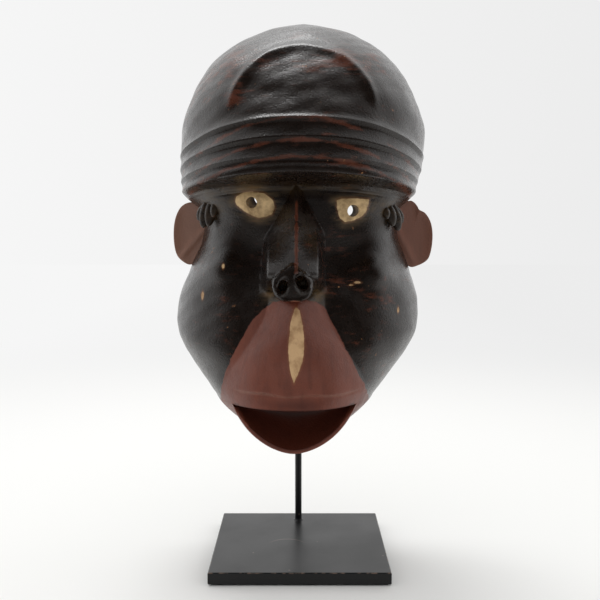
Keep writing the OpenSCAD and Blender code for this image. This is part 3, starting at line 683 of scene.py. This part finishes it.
# ---------------------------------------------------------------- ears
# Two thin scooped flaps left standing at the sides of the block, rubbed
# with the same red clay as the muzzle and faded. Outlines as (side, height)
# in mm, then each ear's middle, its fold (side, height, slope) and fading.
LEFT_EAR = [(-65.5, 236), (-70, 249), (-75, 251.6), (-80.5, 251.6), (-85.3, 248.8), (-88.6, 243.4), (-90.6, 235.6),
            (-90.9, 225), (-89.3, 215.5), (-85.6, 210.2), (-79, 207), (-72.5, 211.5), (-66.5, 222)]
RIGHT_EAR = [(66.5, 236), (72, 250), (79, 253), (82.3, 252), (84.8, 249.2), (86.3, 246.6), (90.7, 244),
             (94.4, 238), (95.9, 230.5), (95.7, 222), (94.1, 214), (91.5, 209.7), (85.7, 206.5), (79.7, 205.5),
             (73.5, 211.5), (67.5, 222)]
EARS = (("left_ear", LEFT_EAR, (-79, 229), (-77, 223, -0.85), -1.0),
        ("right_ear", RIGHT_EAR, (82, 229), (76, 221, 0.5), -0.5))
EAR_Y, EAR_HALF_THICK, EAR_BOWL = 17.6, 2.3, 4.4


def rounded(corners, per):
    """Closed Catmull-Rom curve through the corners, with so many points for each."""
    p = np.array(corners, float)
    t = (np.arange(per) / per)[:, None, None]
    a, b, c, d = np.roll(p, 1, 0), p, np.roll(p, -1, 0), np.roll(p, -2, 0)
    curved = 0.5 * (2 * b + (c - a) * t + (2 * a - 5 * b + 4 * c - d) * t**2 + (3 * b - a - 3 * c + d) * t**3)
    return curved.transpose(1, 0, 2).reshape(-1, 2)


def ear_rings(outline, middle, fold):
    """Rings of a scooped flap, front to back: the outline times r = sin(a)^0.6, half thickness cos(a)^0.6.

    Its bowl is 1 - r^3, and one fold runs through it, sharp in front and faint behind."""
    edge = rounded(outline, 8) - middle
    a = np.linspace(0, np.pi, 35)[:, None]
    r = np.sin(a)**0.6
    x, z = (middle[k] + edge[:, k] * r for k in (0, 1))
    bowl = EAR_BOWL * (1 - r**3)
    crease = np.exp(-((x - fold[0] + (z - fold[1]) * fold[2]) / 3.2)**2) * (1 - r**4)
    crease = np.where(a < np.pi / 2, 2.4, 0.4) * crease
    thick = EAR_HALF_THICK * np.sign(np.cos(a)) * np.abs(np.cos(a))**0.6
    y = EAR_Y + bowl - crease - thick + 0.03 * (z - middle[1])
    return np.stack([x, y, z], -1)


for name, outline, middle, fold, fading in EARS:
    ear = loft(name, ear_rings(outline, middle, fold), carved, False)
    store_level(ear.data, clay=6.0, within=0.0, chalk=NO_PAINT, dust=0.0, wear=fading)
    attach(ear, "mask")
    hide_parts("mask_carving")

# ---------------------------------------------------------------- locks
# A tuft of pointed leaves of hair at each temple, carved hanging from the
# end of the brow: (top, bottom, width, thickness) of each leaf in mm.
LEFT_LEAVES = [((-62, -15, 252), (-69, -11, 238), 9.0, 5.0), ((-60.5, -19, 255), (-65.5, -18, 233), 9.6, 5.5),
               ((-57.5, -22, 255), (-61.5, -22, 234), 8.8, 5.5), ((-55.5, -26, 252), (-57.8, -26, 240), 6.4, 5.0)]
RIGHT_LEAVES = [((64, -14, 249), (70, -8, 236), 8.6, 5.0), ((62, -18, 250.5), (67.5, -14, 231), 9.2, 5.5),
                ((59.5, -22, 250), (63, -20, 234), 8.2, 5.5), ((57, -25, 248), (58.6, -25, 239), 6.0, 5.0)]


def leaf_rings(top, bottom, width, thick):
    """Rings along a leaf: half width sin(pi t)^0.7, and across it an oval with keels, y = cos(a)^1.4."""
    t = np.linspace(0, 1, 21)[:, None]
    a = np.linspace(0, 2 * np.pi, 25)[:-1][None]
    swell = np.maximum(np.sin(np.pi * (0.06 + 0.9 * t)), 0)**0.7 * ease(0, 0.04, t) * ease(1, 0.96, t)
    x, y, z = (top[k] + (bottom[k] - top[k]) * t for k in range(3))
    x = x + 0.5 * width * swell * np.sin(a)
    y = y - 0.5 * thick * swell * np.sign(np.cos(a)) * np.abs(np.cos(a))**1.4
    return np.stack([x, y, np.broadcast_to(z, x.shape)], -1)


for name, leaves in (("left_lock", LEFT_LEAVES), ("right_lock", RIGHT_LEAVES)):
    for number, leaf in enumerate(leaves):
        lock = loft(f"{name}_{number + 1}", leaf_rings(*leaf), carved, False)
        store_level(lock.data, within=0.0, chalk=NO_PAINT, dust=0.15, wear=0.1, clay=NO_PAINT)
        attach(lock, "mask")
        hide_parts("mask_carving")
